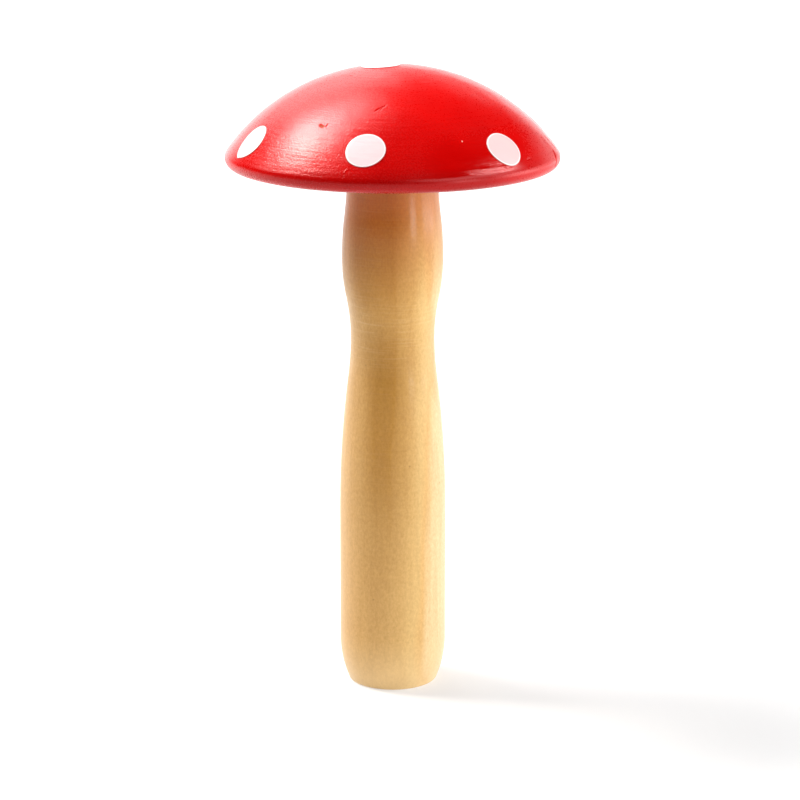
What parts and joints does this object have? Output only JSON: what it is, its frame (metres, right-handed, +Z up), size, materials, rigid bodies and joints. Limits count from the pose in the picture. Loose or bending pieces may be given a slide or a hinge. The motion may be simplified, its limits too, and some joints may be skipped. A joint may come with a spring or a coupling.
{
  "type": "darning mushroom",
  "caption": "Turned wooden darning mushroom: a waisted stem whose tenon is glued into a broad domed cap, painted red with white spots.",
  "frame": {"origin": "centre of the foot's flat face, which the mushroom stands on", "axes": "+Z up the stem to the dome; -Y is the front, which the picture shows; +X is to the right there"},
  "size_m": [0.0522, 0.0522, 0.1002],
  "materials": {
    "cap_wood": "bare turned wood under the paint",
    "red_paint": "thick glossy red lacquer with faint turning rings",
    "stem_wood": "smooth clear-lacquered pale wood, grain along the stem",
    "wood_glue": "dried wood glue",
    "white_paint": "thick white paint, dabbed on by hand"
  },
  "bodies": {
    "root": {"cap": "cap_wood", "red_paint_coat": "red_paint", "stem": "stem_wood", "glue_film": "wood_glue", "crown_spot": "white_paint", "rim_spot_1": "white_paint", "rim_spot_2": "white_paint", "rim_spot_3": "white_paint", "rim_spot_4": "white_paint", "rim_spot_5": "white_paint", "rim_spot_6": "white_paint"}
  },
  "joints": []
}
